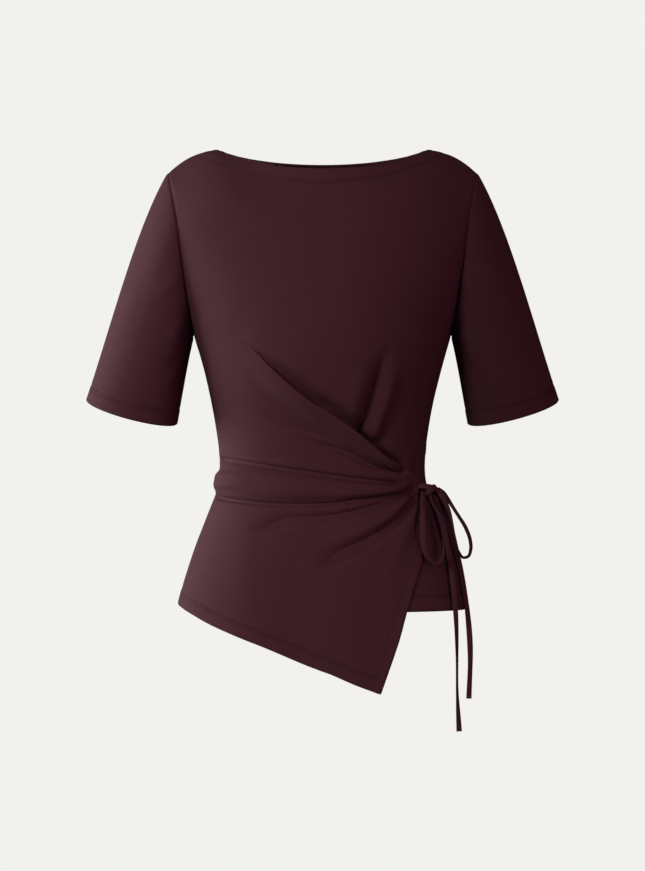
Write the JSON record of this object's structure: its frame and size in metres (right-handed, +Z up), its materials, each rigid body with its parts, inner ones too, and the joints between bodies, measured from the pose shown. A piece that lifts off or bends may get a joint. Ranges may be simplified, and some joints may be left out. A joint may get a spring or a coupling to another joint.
{
  "type": "tie-side top",
  "caption": "Fitted jersey top with a boat neck and elbow sleeves; a draped over panel wraps across the front to a bow at the side and ends in a slanting hem.",
  "frame": {"origin": "midway between the two points where the shoulder seams meet the neck edge, on the line that the wearer's shoulders hold", "axes": "+Z up the body, -Y out of the front, +X to the wearer's left, where the tie is"},
  "size_m": [0.5726, 0.2257, 0.6939],
  "materials": {
    "jersey": "smooth matte fine jersey knit, deep burgundy brown",
    "tie_strap": "folded jersey strap, deep burgundy brown"
  },
  "bodies": {
    "root": {"front": "jersey", "back": "jersey", "wrap": "jersey", "sleeve_right": "jersey", "sleeve_left": "jersey", "tie_knot": "tie_strap", "tie_loop_front": "tie_strap", "tie_loop_back": "tie_strap", "tie_tail_inner": "tie_strap", "tie_tail_outer": "tie_strap"}
  },
  "joints": []
}
